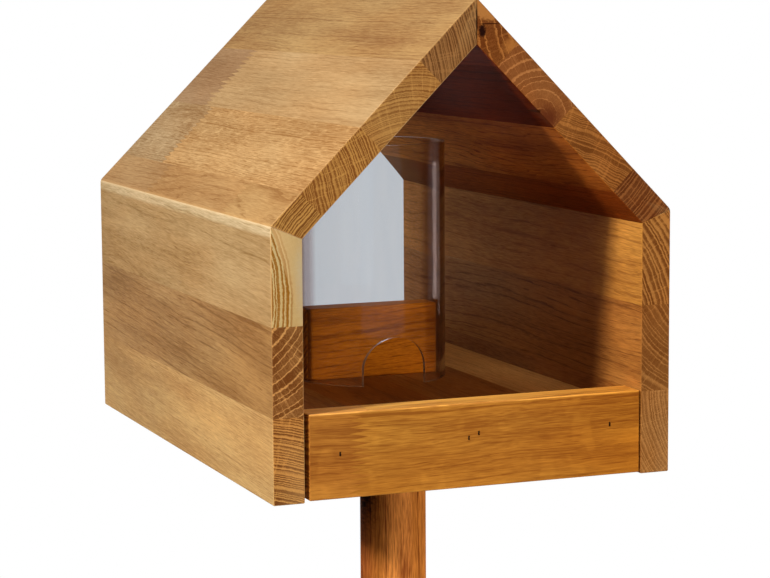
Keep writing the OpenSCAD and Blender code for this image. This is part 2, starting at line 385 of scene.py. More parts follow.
def build_oak_figure():
    tree, asked, result = new_group("oak figure", OAK_INPUTS, [
        ("Color", "Color"), ("Height", "Float"), ("Roughness", "Float")])
    place, end = asked["Place"], asked["End Grain"]
    bent = bend_the_trunk(tree, place, asked["Wander"])
    radius, ring, year_tone = growth_rings(tree, place, bent, asked["Ring Width"])
    late = late_wood(tree, ring, asked["Late Wood"])
    first_row = falling(tree, ring, 0.02, 0.3)
    pores = open_pores(tree, place, bent, first_row)
    rays = wood_rays(tree, bent, radius)
    # Sapwood: past the heart the rings fade and the wood turns pale.
    in_heart = falling(tree, radius, asked["Heart"], plus(tree, asked["Heart"], 2.5))

    # Broad patches, silky bands and short fibres run along the board, and calm down on an end.
    patches = streaky(tree, bent, PATCH)
    bands = streaky(tree, bent, BAND)
    fibres = streaky(tree, bent, FIBRE, roughness=0.55)
    swing = times(tree, ring_swing(tree, asked, end, late, first_row, bands), in_heart)
    depth = times_plus(tree, swing, times_plus(tree, year_tone, 0.5, 0.75), 0.5)
    calm = times_plus(tree, end, -0.55, 1.0)
    for noise, strength in ((patches, times(tree, asked["Patches"], 1.3)),
                            (bands, times(tree, asked["Patches"], 0.65)),
                            (fibres, times(tree, asked["Fibres"], 1.5))):
        depth = times_plus(tree, spread(tree, noise, strength), calm, depth)
    depth = times_plus(tree, pores, asked["Pores"], depth)
    fleck = times(tree, rays, times_plus(tree, end, 0.28, asked["Flecks"]))
    depth = maths(tree, "SUBTRACT", depth, fleck, clamp=True)
    depth = times(tree, depth, times_plus(tree, in_heart, 0.6, 0.4))

    # The pores are open, the late wood stands a hair proud and the fibres are never quite flat.
    height = times_plus(tree, late, 0.25, times(tree, fibres, 0.5))
    height = times_plus(tree, pores, -0.9, height)
    rough = times_plus(tree, fibres, 0.14, 0.42)
    rough = times_plus(tree, pores, 0.2, rough)
    rough = times_plus(tree, end, 0.12, rough)
    plug(tree, result, {"Color": wood_colour(tree, asked, place, end, depth),
                        "Height": height, "Roughness": rough})
    return tree


oak_figure = build_oak_figure()
print("oak figure:", len(oak_figure.nodes), "nodes")

# %% [markdown]
# ## Finger joints
# The long staves are made from shorter lengths, joined end to end with interlocking teeth. Each
# joint shows as a zigzag where the tone and the figure change. A ping-pong of the distance
# across the board gives the teeth, and everything past that zigzag counts as the next length.

# %% Finger joint group
def build_finger_joint():
    tree, asked, result = new_group("finger joint", [
        ("Along", "Float", 0.0), ("Across", "Float", 0.0), ("Joint At", "Float", 0.0),
        ("Tooth", "Float", 11.0), ("Pitch", "Float", 3.8)], [("Past", "Float"), ("Glue", "Float")])
    half_pitch = times(tree, asked["Pitch"], 0.5)
    teeth = maths(tree, "DIVIDE", maths(tree, "PINGPONG", asked["Across"], half_pitch), half_pitch)
    which = maths(tree, "FLOOR", maths(tree, "DIVIDE", asked["Across"], asked["Pitch"]))
    teeth = times(tree, teeth, times_plus(tree, chance(tree, which), 0.8, 0.6))
    zigzag = times(tree, minus(tree, teeth, 0.5), asked["Tooth"])
    ahead = minus(tree, minus(tree, asked["Along"], asked["Joint At"]), zigzag)
    glue = falling(tree, maths(tree, "ABSOLUTE", ahead), 0.3, 0.9)
    plug(tree, result, {"Past": maths(tree, "GREATER_THAN", ahead, 0.0), "Glue": glue})
    return tree


finger_joint = build_finger_joint()
print("finger joint:", len(finger_joint.nodes), "nodes")

# %% [markdown]
# ## Marks in the wood
# A knot, a bark pocket or a patch of paler wood is a small body inside the board. The group
# measures the distance from its middle in units of its own radii, lets a noise fray its outline,
# and gives a mask. The mask works on faces and on end grain alike, because it is solid too. The
# same group also lays a painted shadow on the post.

# %% Mark group
FRAY = (1.6, 5.0, 1.6)


def build_mark():
    tree, asked, result = new_group("mark in the wood", [
        ("Spot", "Vector"), ("Middle", "Vector"), ("Radii", "Vector", (1, 1, 1)),
        ("Fray", "Float", 0.4), ("Softness", "Float", 0.5)], [("Mask", "Float")])
    offset = vectors(tree, "DIVIDE", vectors(tree, "SUBTRACT", asked["Spot"], asked["Middle"]),
                     asked["Radii"])
    fray = spread(tree, streaky(tree, asked["Spot"], FRAY, 3),
                  times(tree, asked["Fray"], 2.0))
    distance = plus(tree, vectors(tree, "LENGTH", offset, output=1), fray)
    start = minus(tree, 1.0, asked["Softness"])
    plug(tree, result, {"Mask": falling(tree, distance, start, 1.0)})
    return tree


mark_group = build_mark()
print("mark:", len(mark_group.nodes), "nodes")

# %% [markdown]
# ## One oak material for each stave
# No two staves come from the same tree, so each one has its own colours, its own ring width and
# its own place in the trunk. A Mapping node turns the grain to run along Y, scales metres to
# millimetres and moves the pith to the origin. Oil leaves a satin surface: a middling roughness,
# a little bump from the pores and no coat.

# %% Where a stave lay in its trunk
GRAIN_TURNS = {"X": Matrix.Rotation(math.pi / 2, 3, "Z"), "Y": Matrix.Identity(3),
               "Z": Matrix.Rotation(math.pi / 2, 3, "X")}
SEED_STEP = 977.0


def house_spot(tree, coordinates):
    """The place of a point in millimetres from the house's front bottom left corner."""
    return add_node(tree, "ShaderNodeMapping",
                    {"Vector": coordinates["Object"], "Location": -house_corner / MM,
                     "Scale": (1 / MM,) * 3}).outputs[0]


def trunk_place(tree, coordinates, pith, grain, seed, tilt):
    """The same point turned and moved, so that the pith runs along Y through the origin."""
    turn = (Matrix.Rotation(math.radians(tilt[0]), 3, "X")
            @ Matrix.Rotation(math.radians(tilt[1]), 3, "Z") @ GRAIN_TURNS[grain])
    shift = -(turn @ (house_corner / MM + Vector(pith))) + Vector((0, SEED_STEP * seed, 0))
    return add_node(tree, "ShaderNodeMapping",
                    {"Vector": coordinates["Object"], "Location": shift,
                     "Rotation": turn.to_euler(), "Scale": (1 / MM,) * 3}).outputs[0]


print("one seed to the next:", SEED_STEP, "mm further along the trunk")

# %% Joined lengths, weathered zones and marks
def join_lengths(tree, spot, place, grain, joints, across):
    """Past each finger joint the figure jumps and the tone changes. Gives place, tint and glue."""
    axes = axes_of(tree, spot)
    sideways = plus(tree, times(tree, axes[0], across[0]), times(tree, axes[2], across[1]))
    tint, glue = WHITE, 0.0
    for at, shade, jump, tooth in joints:
        joint = add_node(tree, "ShaderNodeGroup",
                         {"Along": axes["XYZ".index(grain)], "Across": sideways,
                          "Joint At": at, "Tooth": tooth}, node_tree=finger_joint)
        past = joint.outputs["Past"]
        place = vectors(tree, "ADD", place, scaled(tree, jump, past))
        tint = blend_colours(tree, past, tint, shade)
        glue = maths(tree, "MAXIMUM", glue, joint.outputs["Glue"])
    return place, tint, glue


def fade_faces(tree, colour, spot, fades, faces, inner):
    """Lightens or darkens the long faces further and further along a direction: mostly painted light
    and shade, on some staves a change of tone.
    """
    for direction, near, far, shade in fades:
        reached = times(tree, between(tree, how_far_along(tree, spot, direction), near, far), faces)
        tint = blend_colours(tree, times(tree, reached, inner), WHITE, shade)
        colour = tinted(tree, colour, tint)
    return colour


def add_marks(tree, colour, spot, marks):
    """Paints knots, bark pockets and patches over the wood, and a painted shadow on the post."""
    for middle, radii, shade, fray, softness in marks:
        mark = add_node(tree, "ShaderNodeGroup",
                        {"Spot": spot, "Middle": middle, "Radii": radii, "Fray": fray,
                         "Softness": softness}, node_tree=mark_group)
        colour = blend_colours(tree, mark.outputs["Mask"], colour, shade)
    return colour


print("joints, fades and marks ready")

# %% Oak material
# A face counts as an end where it looks along the grain, and the glue of a finger joint draws the
# wood a third of the way to its deep colour. The boards on the right are painted with shade on
# their inside, darker than outside, so a stave may name a direction in which its wood changes to
# a second pair of colours, its own tone outside.
GLUE_SHOWS = 0.35
END_STARTS, END_FULL = 0.55, 0.92
OIL_IOR = 1.47


def oak(name, pale, deep, pith, grain="Y", end_pale=None, end_deep=None, joints=(),
        across=(1.0, 0.0), marks=(), fades=(), outside=None, seed=0, tilt=(0.0, 0.0), shine=0.1,
        **figure_values):
    """Oiled oak. Pith and marks are in millimetres from the house's front bottom left corner."""
    material, tree, shader, coordinates = new_material(name)
    spot = house_spot(tree, coordinates)
    place = trunk_place(tree, coordinates, pith, grain, seed, tilt)
    if joints:
        place, tint, glue = join_lengths(tree, spot, place, grain, joints, across)
    facing = axes_of(tree, coordinates["Normal"])[grain]
    end = between(tree, maths(tree, "ABSOLUTE", facing), END_STARTS, END_FULL)
    edge = add_node(tree, "ShaderNodeAttribute", attribute_name="edge").outputs["Fac"]
    figure = add_node(tree, "ShaderNodeGroup",
                      {"Place": place, "End Grain": end, "Edge": edge, "Pale": pale, "Deep": deep,
                       "End Pale": end_pale or pale, "End Deep": end_deep or deep},
                      node_tree=oak_figure)
    plug(tree, figure, {label.replace("_", " ").title(): value
                        for label, value in figure_values.items()})
    inner = 1.0
    if outside:
        direction, near, far, outer_pale, outer_deep = outside
        inner = falling(tree, how_far_along(tree, spot, direction), near, far)
        plug(tree, figure, {"Pale": blend_colours(tree, inner, outer_pale, pale),
                            "Deep": blend_colours(tree, inner, outer_deep, deep)})
    colour = figure.outputs["Color"]
    if joints:
        colour = tinted(tree, colour, tint)
        colour = blend_colours(tree, times(tree, glue, GLUE_SHOWS), colour, deep)
    colour = fade_faces(tree, colour, spot, fades, minus(tree, 1.0, end), inner)
    colour = add_marks(tree, colour, spot, marks)
    bump = add_node(tree, "ShaderNodeBump", {"Strength": 0.35, "Distance": 0.3 * MM,
                                             "Height": figure.outputs["Height"]})
    plug(tree, shader, {"Base Color": colour, "Roughness": figure.outputs["Roughness"],
                        "Normal": bump.outputs["Normal"], "IOR": OIL_IOR,
                        "Specular IOR Level": shine})
    return material


print("oak material ready")

# %% [markdown]
# ## Staves
# The walls and the roof boards are glued up from staves. Each stave is a straight prism whose
# exposed corners are eased, while its glued sides stay square so that the joints close tight.
# The prism is built as a row of rings from the front end to the rear end. The rings near an end
# shrink on the exposed sides only, along a quarter circle, which rounds the edge of the end.
# A bevel modifier would round the glue lines too, so the rings are worked out here instead.

# %% Boards and their staves
def across_board(side, kind):
    """A board's start, the direction of its width and the direction into its thickness, in X, Z."""
    if kind == "wall":
        return Vector((left_x if side < 0 else right_x, foot_z)), Vector((0, 1)), Vector((-side, 0))
    return (Vector((ridge_x, ridge_z)), Vector((side * math.cos(pitch), -math.sin(pitch))),
            Vector((-side * math.sin(pitch), -math.cos(pitch))))


def stave_span(node, side, kind):
    """How far along its board's width a stave starts and ends, read from its CAD node."""
    low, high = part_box(node)
    if kind == "wall":
        return low.z - foot_z, high.z - foot_z
    reach = ridge_x - low.x if side < 0 else high.x - ridge_x
    return (ridge_z - high.z) / math.sin(pitch), reach / math.cos(pitch)


print("left roof, ridge stave from, to:",
      [round(v, 4) for v in stave_span("left_roof_ridge_stave", -1, "roof")])

# %% Section of a stave
EASE = 0.8 * MM
EAVE_ROUND = 4.5 * MM
RIDGE_ROUND = 1.6 * MM
MITRE_OPEN = 0.3 * MM
ARC_STEPS = 5
DOWN = 1.5 * math.pi


def arc_points(width, depth, radius, first, last, edge):
    """Points round a corner from one angle to another. Wear follows from how far along they are."""
    points = []
    for k in range(ARC_STEPS + 1):
        share = k / ARC_STEPS
        turn = first + (last - first) * share
        points.append((width + radius * math.cos(turn), depth + radius * math.sin(turn), edge(share)))
    return points


def mid_wear(share):
    """A quarter round wears most in its middle."""
    return math.sin(math.pi * share)


def section(span, cuts, inset):
    """Corners (width, depth, wear) of a stave's section; inset is how far its bare sides draw in."""
    (start, end), (start_cut, end_cut) = span, cuts
    eave_turn = (math.pi / 2 - pitch) / 2
    inner = board - inset
    mitre = MITRE_OPEN * inset / EASE
    reach = EASE - inset
    points, closing = [(start, inset, 0)], [(start, inner, 0)]
    if start_cut == "foot":
        points = arc_points(start + EASE, EASE, reach, math.pi, DOWN, mid_wear)
        closing = arc_points(start + EASE, board - EASE, reach, math.pi / 2, math.pi, mid_wear)
    elif start_cut == "ridge":
        tip = start + mitre
        points = arc_points(tip + math.tan(pitch) * RIDGE_ROUND, RIDGE_ROUND,
                            RIDGE_ROUND - inset, DOWN - pitch, DOWN, lambda share: 1 - share)
        closing = [(tip + math.tan(pitch) * inner, inner, 0)]
    if end_cut == "eave":
        tip = end - mitre
        points += arc_points(tip - math.tan(eave_turn) * EAVE_ROUND, EAVE_ROUND,
                             EAVE_ROUND - inset, DOWN, DOWN + eave_turn, lambda share: share)
        points.append((tip - math.tan(eave_turn) * inner, inner, 0))
    else:
        points += [(end, inset, 0), (end, inner, 0)]
    return points + closing


print("eased edges", round(EASE / MM, 1), "mm, eaves", round(EAVE_ROUND / MM, 1), "mm")

# %% Putting a finished piece in place
def mesh_from(shape, name):
    """Turns a bmesh into a mesh and lets the bmesh go."""
    mesh = bpy.data.meshes.new(name)
    shape.to_mesh(mesh)
    shape.free()
    return mesh


def paint(mesh, material):
    """Gives a mesh one material."""
    mesh.materials.clear()
    mesh.materials.append(material)


def add_piece(name, mesh, material, slot, *replaced):
    """Puts a finished mesh in the scene, riding on the house and standing for its CAD nodes."""
    paint(mesh, material)
    piece = in_scene(name, mesh)
    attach(piece, "root")
    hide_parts(*replaced)
    return piece


CREASE = math.radians(38)


def even_shading(piece):
    """Smooth rounds and flat faces: sharp edges stay sharp, and large faces lead the normals."""
    piece.data.shade_smooth()
    piece.data.set_sharp_from_angle(angle=CREASE)
    even = piece.modifiers.new("even shading", "WEIGHTED_NORMAL")
    even.keep_sharp = True


# %% Making a stave
MERGE = 1e-7


def end_rings():
    """Rings (place along the stave, inset, wear) that round both ends, from front to rear."""
    turns = [k / ARC_STEPS * math.pi / 2 for k in range(ARC_STEPS + 1)]
    rings = [(EASE * (1 - math.cos(turn)), EASE * (1 - math.sin(turn)), math.sin(2 * turn))
             for turn in turns]
    return ([(front_y + y, inset, wear) for y, inset, wear in rings]
            + [(rear_y - y, inset, wear) for y, inset, wear in reversed(rings)])


def make_stave(node, side, kind, cuts, material, slot):
    """Builds one stave as rings from front to rear, in place of its CAD node."""
    start, width, inward = across_board(side, kind)
    span = stave_span(node, side, kind)
    shape = bmesh.new()
    edge_layer = shape.verts.layers.float.new("edge")
    loops = []
    for y, inset, end_wear in end_rings():
        loop = []
        for along, depth, corner_wear in section(span, cuts, inset):
            flat = start + width * along + inward * depth
            vertex = shape.verts.new((flat.x, y, flat.y))
            vertex[edge_layer] = max(end_wear, corner_wear)
            loop.append(vertex)
        loops.append(loop)
    for one, two in zip(loops, loops[1:]):
        for k in range(len(one)):
            after = (k + 1) % len(one)
            shape.faces.new((one[k], one[after], two[after], two[k]))
    shape.faces.new(loops[0])
    shape.faces.new(loops[-1])
    bmesh.ops.remove_doubles(shape, verts=shape.verts, dist=MERGE)
    bmesh.ops.recalc_face_normals(shape, faces=shape.faces)
    mesh = mesh_from(shape, node.replace("_", " "))
    even_shading(add_piece("oak_" + node, mesh, material, slot, node))


print("rings along a stave:", len(end_rings()))

# %% A stave and its wood
CUTS = {"bottom": ("foot", "glue"), "top": ("glue", "eave"), "ridge": ("ridge", "glue"),
        "eave": ("glue", "eave")}


def oak_stave(place, slot, faces, ends, pith, outside=None, **wood):
    """A stave with its wood. Faces, ends and the outer face each have a pale and a deep colour."""
    side, kind, row = place.split()
    if outside:
        wood["outside"] = (*outside[0], tone(*outside[1]), tone(*outside[2]))
    material = oak(f"oak, {side} {kind}, {row}", tone(*faces[0]), tone(*faces[1]), pith,
                   end_pale=tone(*ends[0]), end_deep=tone(*ends[1]), **wood)
    make_stave(f"{side}_{kind}_{row}_stave", -1 if side == "left" else 1, kind,
               CUTS.get(row, ("glue", "glue")), material, slot)


print("staves cut at an angle or eased at a corner:", list(CUTS))

# %% [markdown]
# ## The wood of the staves
# Each call below is one stave: its place in the house, its pale and deep colour on the faces and
# on the ends, and where the pith of its tree lay. A pith far out to one side gives straight
# rings on the end, a near one gives arcs, and a board cut across the rings shows straight fine
# lines on its face. All places are millimetres from the house's front bottom left corner.
#
# - A joint: where it is along the grain, the tint past it, the figure's jump, the teeth's length.
# - A fade: a direction, where the fade starts and ends along it, and the tint it ends in; most paint
#   light and shade.
# - A mark: its middle, its three radii, its colour, how frayed it is and how soft.

# %% Left wall
REARWARD, FORWARD, UPWARD, RIGHTWARD = (0, 1, 0), (0, -1, 0), (0, 0, 1), (1, 0, 0)

# The fade darkens the bottom stave towards the rear: painted shade.
oak_stave("left wall bottom", "oak_wall_mid", ((222, 178, 114), (170, 124, 72)),
          ((190, 132, 66), (107, 58, 20)), (-35, 0, -150), ring_width=1.7, late_wood=0.5,
          end_rings=0.95, face_rings=0.3, wander=3,
          fades=[(REARWARD, 60, 340, tone(239, 240, 244))], seed=1, tilt=(-2.0, 0))
oak_stave("left wall middle", "oak_wall_mid", ((184, 143, 92), (135, 94, 52)),
          ((198, 144, 82), (104, 58, 22)), (-20, 0, 117), ring_width=4.4, late_wood=0.88,
          end_rings=0.8, face_rings=0.35, wander=3.5, patches=1.3,
          fades=[((0, -1, -2), -400, -150, tone(255, 250, 236))], seed=2, tilt=(-2.5, 0))
# The fade at the top and the strong wear whiten the rounded eave edge: pale sapwood, with a painted
# highlight on it.
oak_stave("left wall top", "oak_sapwood", ((194, 157, 107), (148, 111, 63)),
          ((190, 163, 111), (143, 94, 31)), (-74, 0, 115), ring_width=2.5, late_wood=0.6,
          end_rings=1.3, face_rings=0.25, wander=4.2, heart=86.5, patches=1.1, wear=0.7,
          marks=[((19, 0, 128), (7, 12, 34), tone(178, 162, 132), 0.3, 1.3)],
          fades=[(UPWARD, 151.5, 154.5, (1.35, 1.6, 2.1, 1))], seed=33, tilt=(-2.0, 0))
print("left wall: 3 staves")

# %% [markdown]
# The right wall shows its inside through the gable. Its inside is painted with shade, redder and
# darker, darkest near the gable, and painted with light, paler towards the rear, where light comes
# in. Its outer face has the left wall's tone, so each stave gets a second pair of colours for what
# lies more than 240 mm to the right.

# %% Right wall
WALL_OUTSIDE = (RIGHTWARD, 240, 246)


def painted_shade_and_light(*shade):
    """Painted shade near the gable, then painted light, paler and paler towards the rear."""
    return [(REARWARD, 20, 72, (*shade, 1)), (REARWARD, 110, 330, (1.45, 1.75, 2.4, 1)),
            (REARWARD, 285, 335, (1.7, 1.8, 2.0, 1))]


oak_stave("right wall bottom", "oak_wall_mid", ((200, 138, 62), (137, 81, 32)),
          ((172, 118, 64), (116, 70, 30)), (310, 0, 50), ring_width=2.0, end_rings=0.55,
          face_rings=0.4, wander=3, wear=0.1, shine=0.05, fades=painted_shade_and_light(0.48, 0.39, 0.5),
          outside=(WALL_OUTSIDE, (206, 162, 104), (156, 112, 64)), seed=4)
oak_stave("right wall middle", "oak_wall_deep", ((194, 127, 57), (129, 76, 31)),
          ((160, 105, 52), (101, 55, 19)), (290, 0, 130), ring_width=3.0, late_wood=0.75,
          end_rings=0.6, face_rings=0.55, wander=5, wear=0.1, shine=0.05,
          fades=painted_shade_and_light(0.57, 0.52, 0.58),
          outside=(WALL_OUTSIDE, (190, 148, 94), (138, 98, 54)), seed=5,
          marks=[((233, 300, 106), (4, 95, 5.5), tone(255, 214, 150), 0.3, 0.9),
                 ((233, 264, 139), (2, 4.5, 1.8), tone(70, 34, 14), 0.4, 0.6)])
oak_stave("right wall top", "oak_wall_mid", ((222, 153, 65), (158, 98, 37)),
          ((168, 110, 52), (104, 56, 20)), (150, 0, 85), ring_width=2.6, end_rings=0.85,
          face_rings=0.4, wear=0.1, shine=0.05, fades=painted_shade_and_light(0.56, 0.47, 0.54),
          outside=(WALL_OUTSIDE, (200, 158, 102), (150, 108, 60)), seed=6)
print("right wall: 3 staves")

# %% [markdown]
# The left roof board has finger joints in three of its staves, and a streak of bark fills the
# seam at the ridge. The teeth run down the slope, so the joints are told which way that is.

# %% Left roof board
DOWN_THE_LEFT = (-math.cos(pitch), -math.sin(pitch))
BARK = tone(34, 14, 8)
RIDGE_SEAM = ((126, 0, 271), (0.55, 400, 14.5), BARK, 0.1, 0.5)

oak_stave("left roof ridge", "oak_roof_light", ((200, 158, 101), (150, 106, 62)),
          ((144, 100, 56), (90, 54, 26)), (-11, 0, 226), ring_width=1.8, late_wood=0.55,
          end_rings=0.85, face_rings=0.3, patches=1.2, seed=7, marks=[RIDGE_SEAM])
oak_stave("left roof upper", "oak_roof_light", ((210, 170, 118), (167, 126, 79)),
          ((172, 124, 65), (117, 71, 31)), (95, 0, 130), ring_width=1.6, late_wood=0.45,
          end_rings=0.7, face_rings=0.3, patches=0.9, seed=8, across=DOWN_THE_LEFT,
          joints=[(293, (0.78, 0.77, 0.88, 1), (31, 0, 17), 17.0)])
oak_stave("left roof lower", "oak_wall_mid", ((212, 168, 112), (160, 113, 62)),
          ((174, 127, 65), (115, 68, 28)), (-67, 0, 150), ring_width=1.7, end_rings=0.8,
          face_rings=0.45, flecks=0.3, pores=0.9, fibres=1.3, wander=5, seed=9,
          across=DOWN_THE_LEFT, joints=[(273, (0.86, 0.97, 1.2, 1), (23, 0, 31), 9.0)])
oak_stave("left roof eave", "oak_roof_light", ((199, 155, 99), (155, 110, 61)),
          ((178, 129, 65), (113, 67, 27)), (97, 0, 83), ring_width=1.5, end_rings=0.95,
          face_rings=0.4, wander=5, wear=0.5, seed=10, across=DOWN_THE_LEFT,
          joints=[(89, tone(251, 251, 255), (19, 0, 23), 10.0),
                  (250, (0.94, 0.97, 1.1, 1), (27, 0, 41), 10.0)])
print("left roof board: 4 staves, joined from", 4 + 4, "lengths")

# %% [markdown]
# The right roof board has a knot with a bark pocket at the ridge, and a dark heart in the stave
# below it. Its underside is painted with shade, the darkest colour of the house, and painted
# lighter towards the rear with light; its outer face keeps a lighter tone of its own. At 45
# degrees that face lies where the way to the right and the way up add up to more than 396 mm.

# %% Right roof board
ROOF_OUTSIDE = ((1, 0, 1), 396, 403)

# On the underside the forward fades paint shade near the gable, and the rearward fades paint light
# towards the rear.
oak_stave("right roof ridge", "oak_wall_mid", ((150, 58, 11), (98, 34, 6)),
          ((162, 102, 48), (98, 50, 19)), (220, 0, 290), ring_width=6.0, late_wood=0.8,
          end_rings=0.8, face_rings=0.4, wander=4, wear=0.1, shine=0.02,
          fades=[(FORWARD, -90, -10, (0.6, 0.55, 0.5, 1))],
          outside=(ROOF_OUTSIDE, (198, 154, 100), (148, 104, 60)), seed=11,
          marks=[((134, 0, 283), (15, 14, 12), tone(166, 108, 54), 0.3, 0.25),
                 ((134, 0, 270), (9, 30, 0.5), tone(58, 24, 8), 0.1, 0.6),
                 ((129.5, 0, 266), (2.8, 14, 4.5), BARK, 0.6, 0.5),
                 ((148, 0, 257), (8, 12, 7), tone(158, 98, 44), 0.5, 0.9), RIDGE_SEAM])
oak_stave("right roof upper", "oak_wall_deep", ((126, 46, 6), (83, 27, 3)),
          ((172, 112, 61), (113, 62, 28)), (167, 0, 216), ring_width=4.6, late_wood=0.9,
          end_rings=0.65, face_rings=0.4, wander=2, wear=0.1, shine=0.012,
          fades=[(FORWARD, -90, -10, (0.55, 0.48, 0.45, 1))],
          outside=(ROOF_OUTSIDE, (186, 140, 88), (138, 96, 54)), seed=12,
          marks=[((170, 0, 215), (14, 9, 12), tone(88, 41, 20), 0.3, 0.9),
                 ((165, 0, 219), (1.6, 20, 1.6), tone(50, 22, 8), 0.5, 0.5)])
oak_stave("right roof lower", "oak_wall_mid", ((206, 122, 46), (130, 64, 21)),
          ((160, 100, 46), (100, 54, 20)), (139, 0, 62), ring_width=1.6, end_rings=0.65,
          face_rings=0.5, wander=6, patches=1.3, wear=0.1, shine=0.02,
          fades=[(REARWARD, 110, 270, (1.5, 1.95, 2.7, 1)),
                 (FORWARD, -160, -60, (0.75, 0.67, 0.62, 1))],
          outside=(ROOF_OUTSIDE, (206, 162, 108), (156, 112, 66)), seed=13)
oak_stave("right roof eave", "oak_dark", ((143, 65, 17), (91, 38, 8)),
          ((138, 84, 42), (84, 41, 17)), (162, 0, 235), ring_width=2.4, late_wood=0.72,
          end_rings=0.75, face_rings=0.4, wear=0.1, shine=0.02,
          fades=[(REARWARD, 60, 230, (1.6, 2.0, 2.1, 1)),
                 (REARWARD, 270, 335, (0.9, 1.5, 3.6, 1))],
          outside=(ROOF_OUTSIDE, (192, 148, 94), (146, 102, 58)), seed=14)
print("right roof board: 4 staves")

# %% [markdown]
# ## Seed tray
# The floor is glued up from four staves that run front to rear, and its CAD solids already have
# the right shape, so they stay and only get their wood. The one along the right wall is paler.

# %% Floor
def paint_node(name, material):
    """Gives a CAD solid that stays in the scene its finish."""
    paint(nodes[name].data, material)


# Each stave: its CAD node, its pale and its deep colour, and how far to the right its pith lay.
FLOOR_STAVES = [
    ("floor_stave_1", (160, 98, 42), (112, 62, 24), 20),
    ("floor_stave_2", (150, 80, 24), (106, 51, 15), 100),
    ("floor_stave_3", (154, 90, 36), (108, 58, 21), 170),
    ("floor_stave_4", (204, 142, 76), (150, 96, 46), 260)]
for k, (name, pale, deep, pith_x) in enumerate(FLOOR_STAVES):
    floor_oak = oak("oak, " + name.replace("_", " "), tone(*pale), tone(*deep),
                    (pith_x, 0, -70 + 25 * k), ring_width=2.6, face_rings=0.3, end_rings=0.8,
                    shine=0.04, seed=15 + k)
    paint_node(name, floor_oak)
print("floor:", len(FLOOR_STAVES), "staves")

# %% [markdown]
# ## Lips of the tray
# The front and rear lips are single pieces with the grain running across. Their edges are eased
# all round. The brads that hold them sit in small slots, and a Boolean modifier cuts these at
# the places of the brads, which are read from the frame.

# %% Blocks and brad places
WELD = 1e-6


def add_block(shape, low, high):
    """Adds a block between two corners to a bmesh."""
    size, middle = high - low, (high + low) / 2
    for vertex in bmesh.ops.create_cube(shape, size=1.0)["verts"]:
        vertex.co = Vector(a * b for a, b in zip(vertex.co, size)) + middle


def eased_block(low, high, radius, name):
    """A block between two corners with all its edges rounded."""
    shape = bmesh.new()
    add_block(shape, low, high)
    bmesh.ops.bevel(shape, geom=shape.edges[:], offset=radius, segments=4, profile=0.5,
                    affect="EDGES", clamp_overlap=True)
    bmesh.ops.recalc_face_normals(shape, faces=shape.faces)
    return mesh_from(shape, name)


def separate_bars(node):
    """The boxes of the separate solids in one CAD node, read from a merged copy of its mesh."""
    shape = bmesh.new()
    shape.from_mesh(nodes[node].data)
    bmesh.ops.remove_doubles(shape, verts=shape.verts, dist=WELD)
    left = set(shape.verts)
    boxes = []
    while left:
        found, waiting = [], [left.pop()]
        while waiting:
            vertex = waiting.pop()
            found.append(vertex.co.copy())
            joined = {line.other_vert(vertex) for line in vertex.link_edges} & left
            left -= joined
            waiting += joined
        boxes.append((Vector(map(min, *found)), Vector(map(max, *found))))
    shape.free()
    return sorted(boxes, key=lambda box: box[0].x)


front_brads = separate_bars("front_brads")
rear_brads = separate_bars("rear_brads")
print("brads:", len(front_brads), "in front,", len(rear_brads), "behind")

# %% Lips
SLOT_REACH = 2 * MM


def plain_mesh(holder, *helpers):
    """The finished mesh of an object with its modifiers applied. The objects behind it go."""
    graph = bpy.context.evaluated_depsgraph_get()
    finished = bpy.data.meshes.new_from_object(holder.evaluated_get(graph))
    for helper in (holder, *helpers):
        bpy.data.objects.remove(helper)
    return finished


def make_lip(node, brads, outward, material):
    """A lip with eased edges and a slot in front of each brad."""
    cutter_shape = bmesh.new()
    for bar_low, bar_high in brads:
        out = Vector((0, SLOT_REACH * outward, 0))
        add_block(cutter_shape, Vector(map(min, bar_low, bar_low + out)),
                  Vector(map(max, bar_high, bar_high + out)))
    body = in_scene("lip body", eased_block(*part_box(node), EASE, node))
    cutter = in_scene("slots", mesh_from(cutter_shape, "slots"))
    slots = body.modifiers.new("slots", "BOOLEAN")
    slots.operation = "DIFFERENCE"
    slots.solver = "EXACT"
    slots.object = cutter
    finished = plain_mesh(body, cutter)
    finished.name = node.replace("_", " ")
    piece = add_piece("oak_" + node, finished, material, "oak_honey", node)
    even_shading(piece)
    return piece


# The fades paint shade towards the lip's right end, make its face lighter towards the top, and paint
# a highlight on its top face.
lip_oak = oak("oak, front lip", tone(193, 126, 49), tone(135, 76, 25), (90, -30, -160), grain="X",
              ring_width=3.2, face_rings=0.35, wander=6, patches=1.4, fibres=0.85, flecks=0.15,
              joints=[(52, (1.05, 1.08, 0.94, 1), (17, 0, 23), 12.0)], across=(0, 1),
              fades=[(RIGHTWARD, 130, 240, (0.9, 0.76, 0.52, 1)),
                     (UPWARD, 10, 45, (1.08, 1.15, 1.2, 1)),
                     (UPWARD, 49.7, 50.6, (2.1, 2.6, 4.0, 1))], seed=21)
rear_lip_oak = oak("oak, rear lip", tone(192, 120, 38), tone(140, 78, 22), (140, -30, 190),
                   grain="X", ring_width=2.8, face_rings=0.25, wander=5, patches=1.2, seed=22)
front_lip = make_lip("front_lip", front_brads, -1, lip_oak)
rear_lip = make_lip("rear_lip", rear_brads, 1, rear_lip_oak)
print("lips:", [len(piece.data.polygons) for piece in (front_lip, rear_lip)], "faces")

# %% [markdown]
# ## Steel of the brads
# Brads are dark drawn steel that has begun to rust in the open air. A fine noise decides where:
# rusty spots are browner and rougher than the bare metal between them.

